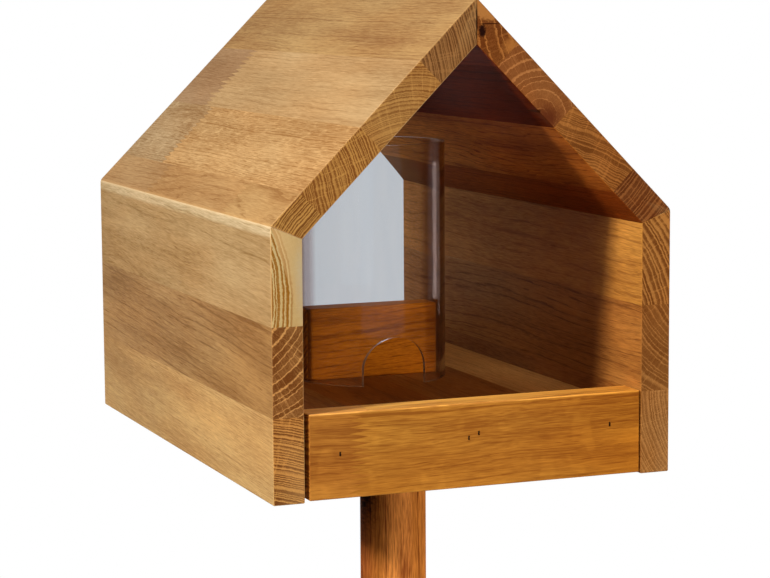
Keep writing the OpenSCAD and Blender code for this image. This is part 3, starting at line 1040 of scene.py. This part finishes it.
# %% Steel
def build_steel():
    material, tree, shader, coordinates = new_material("dark steel brad")
    spot = vectors(tree, "DIVIDE", coordinates["Object"], (MM,) * 3)
    rust = streaky(tree, spot, (0.5, 0.5, 0.9), 3, 0.6)
    colour = blend_colours(tree, between(tree, rust, 0.4, 0.65), tone(44, 34, 28), tone(92, 66, 46))
    rough = between(tree, rust, 0.3, 0.7, to_low=0.38, to_high=0.7)
    plug(tree, shader, {"Base Color": colour, "Roughness": rough, "Metallic": 0.7})
    return material


steel = build_steel()
print("steel ready")

# %% [markdown]
# ## Brads
# Eight flat steel brads hold the lips to the floor. Geometry Nodes put one bar on each point of
# a small cloud of points, with the size as a named input. The result is turned into a plain mesh
# at the end, because a piece must be a mesh when it rides with the house.

# %% Running Geometry Nodes
def node_tool(name, inputs):
    """An empty Geometry Nodes tree with named inputs, its input sockets and its output node."""
    tree = bpy.data.node_groups.new(name, "GeometryNodeTree")
    add_sockets(tree, "INPUT", [("Geometry", "Geometry"), *inputs])
    add_sockets(tree, "OUTPUT", [("Geometry", "Geometry")])
    return tree, tree.nodes.new("NodeGroupInput").outputs, tree.nodes.new("NodeGroupOutput")


def end_tool(tree, geometry, asked, result):
    """Every tool ends alike: its instances are made real and get their material."""
    real = add_node(tree, "GeometryNodeRealizeInstances", {"Geometry": geometry})
    painted = add_node(tree, "GeometryNodeSetMaterial",
                       {"Geometry": real.outputs[0], "Material": asked["Material"]})
    plug(tree, result, {"Geometry": painted.outputs[0]})


def run_tool(tree, start_mesh, values):
    """Runs a Geometry Nodes tree on a mesh and returns the result as a plain mesh."""
    holder = in_scene(tree.name, start_mesh)
    work = holder.modifiers.new(tree.name, "NODES")
    work.node_group = tree
    for item in tree.interface.items_tree:
        if item.item_type == "SOCKET" and item.in_out == "INPUT" and item.name in values:
            work[item.identifier] = values[item.name]
    return plain_mesh(holder)


print("Geometry Nodes helpers ready")

# %% Brads by Geometry Nodes
def build_bars_tool():
    tree, asked, result = node_tool("bars on points", [
        ("Size", "Vector", (MM, MM, MM)), ("Material", "Material")])
    bar = add_node(tree, "GeometryNodeMeshCube",
                   {"Size": asked["Size"], "Vertices X": 3, "Vertices Y": 2, "Vertices Z": 3})
    points = add_node(tree, "GeometryNodeMeshToPoints", {"Mesh": asked["Geometry"]})
    placed = add_node(tree, "GeometryNodeInstanceOnPoints",
                      {"Points": points.outputs[0], "Instance": bar.outputs["Mesh"]})
    end_tool(tree, placed.outputs[0], asked, result)
    return tree


bars_tool = build_bars_tool()
for node, bars in (("front_brads", front_brads), ("rear_brads", rear_brads)):
    cloud = bpy.data.meshes.new(node + " places")
    cloud.from_pydata([(low + high) / 2 for low, high in bars], [], [])
    size = bars[0][1] - bars[0][0]
    mesh = run_tool(bars_tool, cloud, {"Size": tuple(size), "Material": steel})
    add_piece("steel_" + node, mesh, steel, "dark_steel", node)
print("brads:", [round(v / MM, 1) for v in size], "mm each")

# %% [markdown]
# ## Dowels
# Plain beech dowels carry the tray in the walls. Only a sliver of each shows in the gap beside
# the floor, so their CAD solids stay and get a pale, close-grained wood.

# %% Beech
def build_beech():
    material, tree, shader, coordinates = new_material("beech dowel")
    spot = vectors(tree, "DIVIDE", coordinates["Object"], (MM,) * 3)
    grain = streaky(tree, spot, (14.0, 0.8, 0.8))
    specks = between(tree, streaky(tree, spot, (2.4, 0.35, 0.35), 1), 0.62, 0.7)
    depth = times_plus(tree, specks, 0.4, grain, clamp=True)
    colour = blend_colours(tree, depth, tone(214, 176, 128), tone(176, 128, 82))
    rough = between(tree, grain, 0.3, 0.7, to_low=0.5, to_high=0.62)
    plug(tree, shader, {"Base Color": colour, "Roughness": rough})
    return material


beech = build_beech()
paint_node("left_dowels", beech)
paint_node("right_dowels", beech)
print("dowels painted")

# %% [markdown]
# ## Silo block
# A board on edge under the tube spreads the seed to both sides. Its grain runs across the house.
# Its left end is darkened with painted shade, which a fade with a short reach lays on.

# %% Block
block_low, block_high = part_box("silo_block")
block_mesh = eased_block(block_low, block_high, 1.4 * MM, "silo block")
block_oak = oak("oak, silo block", tone(197, 110, 18), tone(126, 61, 9), (130, 90, -60), grain="X",
                ring_width=3.4, face_rings=0.5, wander=9, patches=1.2, fibres=0.8, flecks=0.0,
                shine=0.05, fades=[((-1, 0, 0), -88, -86, (0.3, 0.25, 0.25, 1))], seed=23,
                tilt=(0, -6))
even_shading(add_piece("oak_silo_block", block_mesh, block_oak, "oak_honey", "silo_block"))
print("block", [round(v, 4) for v in (block_high - block_low)])

# %% [markdown]
# ## Clear acrylic
# The tube is clear, so what matters is what shines through and how its edges look. Seen nearly
# edge on, a clear wall darkens, and here that is painted shade: Layer Weight tells how slanting the
# view is, and two steps of it tint the glass darker and browner. The sawn faces of the rims and
# arches scatter light, so they get some haze, while fine rubs give the walls only a trace. The
# rim gets painted shade too. Shadow rays pass freely through a transparent shader, because
# otherwise the tray inside the tube would stay black.

# %% Acrylic
def build_acrylic():
    material, tree, shader, coordinates = new_material("clear acrylic")
    spot = vectors(tree, "DIVIDE", coordinates["Object"], (MM,) * 3)
    rubs = streaky(tree, spot, (5.0, 5.0, 40.0), 3, 0.6)
    sawn = add_node(tree, "ShaderNodeAttribute", attribute_name="sawn").outputs["Fac"]
    rough = between(tree, rubs, 0.45, 0.8, to_high=0.05)
    rough = maths(tree, "MAXIMUM", rough, times(tree, sawn, 0.25))
    # The walls: nearly white face on, then two steps of painted shade, darker and browner, towards
    # edge on.
    slant = add_node(tree, "ShaderNodeLayerWeight", {"Blend": 0.5}).outputs["Facing"]
    colour = blend_colours(tree, between(tree, rubs, 0.3, 0.7), (0.985, 0.99, 0.995, 1),
                           (0.96, 0.97, 0.985, 1))
    colour = blend_colours(tree, between(tree, slant, 0.3, 0.38), colour, (0.64, 0.55, 0.55, 1))
    colour = blend_colours(tree, between(tree, slant, 0.5, 0.58), colour, (0.36, 0.25, 0.21, 1))
    # The sawn faces: the rim, which looks up, gets painted shade and is darker than the arches.
    rim = between(tree, axes_of(tree, coordinates["Normal"])["Z"], 0.6, 0.9)
    cut_tint = blend_colours(tree, rim, (0.92, 0.82, 0.76, 1), (0.3, 0.24, 0.22, 1))
    colour = blend_colours(tree, sawn, colour, cut_tint)
    plug(tree, shader, {"Base Color": colour, "Roughness": rough, "Transmission Weight": 1.0,
                        "IOR": 1.32})
    hazy = times_plus(tree, times(tree, sawn, minus(tree, 1.0, rim)), 0.35, 0.012)
    haze = add_node(tree, "ShaderNodeBsdfDiffuse", {"Color": (0.72, 0.4, 0.24, 1)})
    clear = add_node(tree, "ShaderNodeBsdfTransparent", {"Color": (0.96, 0.97, 0.975, 1)})
    glass = add_node(tree, "ShaderNodeMixShader",
                     {0: hazy, 1: shader.outputs[0], 2: haze.outputs[0]})
    shadow = add_node(tree, "ShaderNodeLightPath").outputs["Is Shadow Ray"]
    surface = add_node(tree, "ShaderNodeMixShader",
                       {0: shadow, 1: glass.outputs[0], 2: clear.outputs[0]})
    plug(tree, tree.nodes["Material Output"], {"Surface": surface.outputs[0]})
    return material


acrylic = build_acrylic()
print("acrylic ready")

# %% [markdown]
# ## Silo tube
# The tube is three millimetres thick, with an arch cut at the front and one at the rear to let
# the seed out. Its shape follows a rule, so Geometry Nodes make it: the section of the wall,
# with rounded rims, is swept round a circle, and a Boolean node cuts the arches. An arch is a
# rectangle with a circle on top, and both are drawn right through the tube.

# %% Cutting through the tube
THROUGH = 2.4
UNDER_THE_FOOT = -5 * MM


def shifted(tree, geometry, offset, turn=(0, 0, 0)):
    """Moves and turns a piece of geometry."""
    return add_node(tree, "GeometryNodeTransform",
                    {"Geometry": geometry, "Translation": offset, "Rotation": turn}).outputs[0]


def arch_shapes(tree, asked):
    """The two flat shapes of an arch: its legs, and the circle on top of them."""
    half = times(tree, asked["Arch Width"], 0.5)
    spring = minus(tree, asked["Arch Height"], half)
    other = times(tree, half, -1.0)
    corners = ((other, UNDER_THE_FOOT), (half, UNDER_THE_FOOT), (half, spring), (other, spring))
    legs = add_node(tree, "GeometryNodeCurvePrimitiveQuadrilateral",
                    {f"Point {k}": from_axes(tree, *corner) for k, corner in enumerate(corners, 1)},
                    mode="POINTS")
    legs = add_node(tree, "GeometryNodeFillCurve", {"Curve": legs.outputs[0]}, mode="NGONS")
    top = add_node(tree, "GeometryNodeMeshCircle", {"Vertices": 96, "Radius": half},
                   fill_type="NGON")
    return legs.outputs[0], shifted(tree, top.outputs[0], from_axes(tree, y=spring))


def drawn_through(tree, flat, radius):
    """Draws a flat shape out to a closed solid that reaches through the tube, front to rear."""
    deep = add_node(tree, "GeometryNodeExtrudeMesh",
                    {"Mesh": flat, "Offset": UPWARD, "Offset Scale": times(tree, radius, THROUGH),
                     "Individual": False}, mode="FACES")
    under = add_node(tree, "GeometryNodeFlipFaces", {"Mesh": flat})
    shut = add_node(tree, "GeometryNodeJoinGeometry")
    tree.links.new(deep.outputs[0], shut.inputs[0])
    tree.links.new(under.outputs[0], shut.inputs[0])
    welded = add_node(tree, "GeometryNodeMergeByDistance",
                      {"Geometry": shut.outputs[0], "Distance": WELD})
    return shifted(tree, welded.outputs[0], from_axes(tree, y=times(tree, radius, THROUGH / 2)),
                   turn=(math.pi / 2, 0, 0))


print("the cutters are", THROUGH, "times as long as the tube's radius")

# %% Tube by Geometry Nodes
def build_tube_tool():
    tree, asked, result = node_tool("tube with arches", [
        ("Radius", "Float", 0.05), ("Wall", "Float", 0.003), ("Height", "Float", 0.15),
        ("Rim", "Float", 0.0005), ("Arch Width", "Float", 0.04), ("Arch Height", "Float", 0.03),
        ("Material", "Material")])
    # The wall's section: a rectangle with rounded corners, its middle in the middle of the wall.
    section_curve = add_node(tree, "GeometryNodeCurvePrimitiveQuadrilateral",
                             {"Width": asked["Wall"], "Height": asked["Height"]})
    rounded = add_node(tree, "GeometryNodeFilletCurve",
                       {"Curve": section_curve.outputs[0], "Radius": asked["Rim"], "Count": 4},
                       mode="POLY")
    # Swept round the middle of the wall. The section's X points outwards.
    middle = minus(tree, asked["Radius"], times(tree, asked["Wall"], 0.5))
    circle = add_node(tree, "GeometryNodeCurvePrimitiveCircle",
                      {"Resolution": 240, "Radius": middle}, mode="RADIUS")
    swept = add_node(tree, "GeometryNodeCurveToMesh",
                     {"Curve": circle.outputs[0], "Profile Curve": rounded.outputs[0]})
    raised = shifted(tree, swept.outputs[0], from_axes(tree, z=times(tree, asked["Height"], 0.5)))
    cut = add_node(tree, "GeometryNodeMeshBoolean", {"Mesh 1": raised},
                   operation="DIFFERENCE", solver="EXACT")
    for flat in arch_shapes(tree, asked):
        tree.links.new(drawn_through(tree, flat, asked["Radius"]), cut.inputs["Mesh 2"])
    end_tool(tree, cut.outputs[0], asked, result)
    return tree


tube_low, tube_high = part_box("silo_tube")
tube_middle = (tube_low + tube_high) / 2
tube_mesh = run_tool(build_tube_tool(), bpy.data.meshes.new("nothing"), {
    "Radius": (tube_high.x - tube_low.x) / 2, "Wall": 3 * MM, "Height": tube_high.z - tube_low.z,
    "Rim": 0.3 * MM, "Arch Width": 42 * MM, "Arch Height": 31 * MM, "Material": acrylic})
tube_mesh.transform(Matrix.Translation((tube_middle.x, tube_middle.y, tube_low.z)))
tube = add_piece("clear_silo_tube", tube_mesh, acrylic, "clear_acrylic", "silo_tube")
print("tube:", len(tube.data.polygons), "faces")

# %% [markdown]
# A tube of flat facets would break up what shines through it. Its walls get the normals of a
# true circle instead. The faces that don't look straight outwards or inwards are the sawn ones,
# and they are marked for the acrylic.

# %% Round walls and sawn faces
LOOKS_OUT = 0.97
RIM_CREASE = math.radians(35)


def true_round(mesh, axis_x, axis_y):
    """Gives the walls of a tube the normals of a true circle, and marks its other faces."""
    mesh.shade_smooth()
    mesh.set_sharp_from_angle(angle=RIM_CREASE)
    normals = [Vector(corner.vector) for corner in mesh.corner_normals]
    sawn = [1.0] * len(mesh.polygons)
    for face in mesh.polygons:
        for corner in face.loop_indices:
            place = mesh.vertices[mesh.loops[corner].vertex_index].co
            outwards = Vector((place.x - axis_x, place.y - axis_y, 0)).normalized()
            along = face.normal.dot(outwards)
            if abs(along) > LOOKS_OUT:
                normals[corner] = outwards if along > 0 else -outwards
                sawn[face.index] = 0.0
    mesh.normals_split_custom_set(normals)
    mesh.attributes.new("sawn", "FLOAT", "FACE").data.foreach_set("value", sawn)
    return sum(sawn)


print("sawn faces:", int(true_round(tube.data, tube_middle.x, tube_middle.y)))

# %% [markdown]
# ## Post
# The post is turned from one length of oak, a plain round with eased ends and a tenon that
# enters the floor. Geometry Nodes sweep a circle up a line whose points carry the radius.

# %% Turning by Geometry Nodes
def build_turning_tool():
    tree, asked, result = node_tool("turned on a lathe", [
        ("Facets", "Int", 96), ("Material", "Material")])
    radius = add_node(tree, "GeometryNodeInputNamedAttribute", {"Name": "radius"},
                      data_type="FLOAT")
    line = add_node(tree, "GeometryNodeMeshToCurve", {"Mesh": asked["Geometry"]})
    circle = add_node(tree, "GeometryNodeCurvePrimitiveCircle",
                      {"Resolution": asked["Facets"], "Radius": 1.0}, mode="RADIUS")
    sweep = add_node(tree, "GeometryNodeCurveToMesh",
                     {"Curve": line.outputs[0], "Profile Curve": circle.outputs[0],
                      "Scale": radius.outputs[0], "Fill Caps": True})
    end_tool(tree, sweep.outputs[0], asked, result)
    return tree


turning_tool = build_turning_tool()
print("turning tool:", len(turning_tool.nodes), "nodes")

# %% Line of the post
post_low, post_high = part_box("post")
post_radius = (post_high.x - post_low.x) / 2
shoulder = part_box("floor_stave_1")[0].z
tenon_radius = 12.5 * MM
foot_ease = 1.5 * MM
shoulder_ease = 0.4 * MM
shoulder_step = 0.01 * MM
tenon_ease = MM
shank_parts = 20

profile = []
for k in range(5):
    turn = k / 4 * math.pi / 2
    profile.append((foot_ease * (1 - math.cos(turn)), post_radius - foot_ease * (1 - math.sin(turn))))
profile += [(k * shoulder / shank_parts, post_radius) for k in range(1, shank_parts)]
profile += [(shoulder - shoulder_ease, post_radius), (shoulder, post_radius - shoulder_ease),
            (shoulder + shoulder_step, tenon_radius), (post_high.z - tenon_ease, tenon_radius),
            (post_high.z, tenon_radius - tenon_ease)]
line_mesh = bpy.data.meshes.new("post line")
line_mesh.from_pydata([(0, 0, z) for z, radius in profile],
                      [(k, k + 1) for k in range(len(profile) - 1)], [])
line_mesh.attributes.new("radius", "FLOAT", "POINT").data.foreach_set(
    "value", [radius for z, radius in profile])
print("post line:", len(profile), "points")

# %% Post
# From its right side to its left the post is first its own tone, then paler with painted light,
# and then darker in two steps of painted shade. A nearly black painted shadow of the tray lies on
# the left, just under it.
ROUND_THE_LEFT = (-0.93, 0.37, 0)

post_oak = oak("oak, post", tone(229, 142, 59), tone(122, 60, 21), (118, -10, 0), grain="Z",
               ring_width=3.4, late_wood=0.4, face_rings=0.5, wander=4, patches=0.8, pores=0.7,
               seed=24, tilt=(0, 1.5), shine=0.02,
               fades=[(ROUND_THE_LEFT, -82, -76, (1.5, 1.62, 2.0, 1)),
                      (ROUND_THE_LEFT, -67, -58, (0.66, 0.6, 0.5, 1)),
                      (ROUND_THE_LEFT, -60, -49, (0.62, 0.5, 0.6, 1))],
               marks=[((100, 130, -2), (17, 25, 66), tone(18, 4, 1), 0.2, 0.5)])
post_mesh = run_tool(turning_tool, line_mesh, {"Facets": 96, "Material": post_oak})
post = add_piece("oak_post", post_mesh, post_oak, "oak_post", "post")
even_shading(post)
print("post:", len(post.data.polygons), "faces,", round(post_high.z - post_low.z, 4), "m high")

# %% [markdown]
# ## Floor of the studio
# A wide pale floor catches the post's shadow. Further out the camera sees it as plain white,
# so that it runs into the white background without an edge. Through the clear tube and in
# reflections it is a cool grey instead, so that the tube stands out against the white.

# %% What rays see of the studio
THROUGH_CLEAR = (0.55, 0.58, 0.61, 1)
IN_REFLECTIONS = (0.22, 0.205, 0.2, 1)


def backdrop_colour(tree, path):
    """White to the camera, a cool grey through the tube and darker in reflections."""
    colour = blend_colours(tree, path["Is Glossy Ray"], WHITE, IN_REFLECTIONS)
    return blend_colours(tree, path["Is Transmission Ray"], colour, THROUGH_CLEAR)


def sees_backdrop(tree, path):
    """1 for the rays that show a background, 0 for those that only gather light."""
    bent = maths(tree, "MAXIMUM", path["Is Glossy Ray"], path["Is Transmission Ray"])
    return maths(tree, "MAXIMUM", path["Is Camera Ray"], bent)


print("background colours ready")

# %% Studio floor
FLOOR_REACH = 30.0
FLOOR_DROP = 0.5 * MM


def build_paper():
    material, tree, shader, coordinates = new_material("pale studio floor")
    path = add_node(tree, "ShaderNodeLightPath").outputs
    mottle = streaky(tree, coordinates["Object"], (0.02,) * 3, 3)
    colour = blend_colours(tree, mottle, (0.86, 0.86, 0.86, 1), (0.9, 0.9, 0.9, 1))
    colour = blend_colours(tree, path["Is Camera Ray"], (0.6, 0.6, 0.6, 1), colour)
    plug(tree, shader, {"Base Color": colour, "Roughness": 0.9})
    distance = vectors(tree, "LENGTH", coordinates["Object"], output=1)
    white = times(tree, between(tree, distance, 0.35, 1.6), sees_backdrop(tree, path))
    backdrop = add_node(tree, "ShaderNodeEmission",
                        {"Color": backdrop_colour(tree, path), "Strength": 1.0})
    mix = add_node(tree, "ShaderNodeMixShader",
                   {0: white, 1: shader.outputs[0], 2: backdrop.outputs[0]})
    plug(tree, tree.nodes["Material Output"], {"Surface": mix.outputs[0]})
    return material


floor_mesh = bpy.data.meshes.new("studio floor")
floor_mesh.from_pydata([(x * FLOOR_REACH, y * FLOOR_REACH, 0)
                        for x, y in ((-1, -1), (1, -1), (1, 1), (-1, 1))], [], [(0, 1, 2, 3)])
floor_mesh.materials.append(build_paper())
studio_floor = in_scene("studio_floor", floor_mesh)
studio_floor.location.z = -FLOOR_DROP
print("studio floor placed")

# %% [markdown]
# ## Light
# One small soft lamp stands to the left, so its light rakes over the left wall and the roof and
# reaches in only as far as the front edge of the left wall lets it. Two more stand in front: one
# low on the right that lights the gable, the lip and the post, and a high one that softens the
# shadows. Nothing shines straight on the inside near the gable, which glows with what its own
# walls throw back. A weak wide lamp behind lifts the rear, and a low one near it shines in at
# the rear opening.

# %% Lamps
WARM_LIGHT = (1.0, 0.985, 0.96)
PLAIN_LIGHT = (1, 1, 1)
# Each lamp: its name, the way to it, its distance, its size, its brightness and its colour.
LAMPS = [
    ("left lamp", (-0.899, -0.336, 0.40), 1.44, 0.14, 0.95, WARM_LIGHT),
    ("right front lamp", (0.72, -0.69, -0.13), 2.2, 0.6, 0.6, WARM_LIGHT),
    ("high front lamp", (-0.12, -0.9, 0.42), 2.4, 0.9, 0.38, WARM_LIGHT),
    ("rear lamp", (-0.45, 0.85, 0.3), 2.6, 1.2, 0.15, PLAIN_LIGHT),
    ("low rear lamp", (-0.2, 0.97, -0.2), 0.9, 0.3, 0.15, PLAIN_LIGHT)]


def soft_lamp(name, toward, distance, size, level, colour):
    """A square lamp that gives a white surface facing it the given brightness at the house."""
    aim = Vector((ridge_x, (front_y + rear_y) / 2, (foot_z + ridge_z) / 2))
    data = bpy.data.lights.new(name, "AREA")
    data.shape = "SQUARE"
    data.size = size
    data.energy = level * math.pi ** 2 * distance ** 2
    data.color = colour
    lamp = in_scene(name, data)
    lamp.location = aim + Vector(toward).normalized() * distance
    lamp.rotation_mode = "QUATERNION"
    lamp.rotation_quaternion = (aim - lamp.location).to_track_quat("-Z", "Y")
    return lamp


lamps = [soft_lamp(*settings) for settings in LAMPS]
for lamp in lamps[1:]:
    lamp.visible_glossy = False
print("lamps:", [lamp.name for lamp in lamps], "of which only the first shows in reflections")

# %% [markdown]
# ## Sky
# The sky is two skies in one. What gathers light finds a faint even glow, which keeps the
# shadows soft and deep, and what shows a background finds the same white as the studio floor.

# %% Sky
world = bpy.data.worlds.new("white studio")
scene.world = world
world.use_nodes = True
tree = world.node_tree
tree.nodes.clear()
path = add_node(tree, "ShaderNodeLightPath").outputs
glow = add_node(tree, "ShaderNodeBackground", {"Color": WHITE, "Strength": 0.045})
backdrop = add_node(tree, "ShaderNodeBackground",
                    {"Color": backdrop_colour(tree, path), "Strength": 1.0})
sky = add_node(tree, "ShaderNodeMixShader",
               {0: sees_backdrop(tree, path), 1: glow.outputs[0], 2: backdrop.outputs[0]})
add_node(tree, "ShaderNodeOutputWorld", {"Surface": sky.outputs[0]})
print("sky ready")
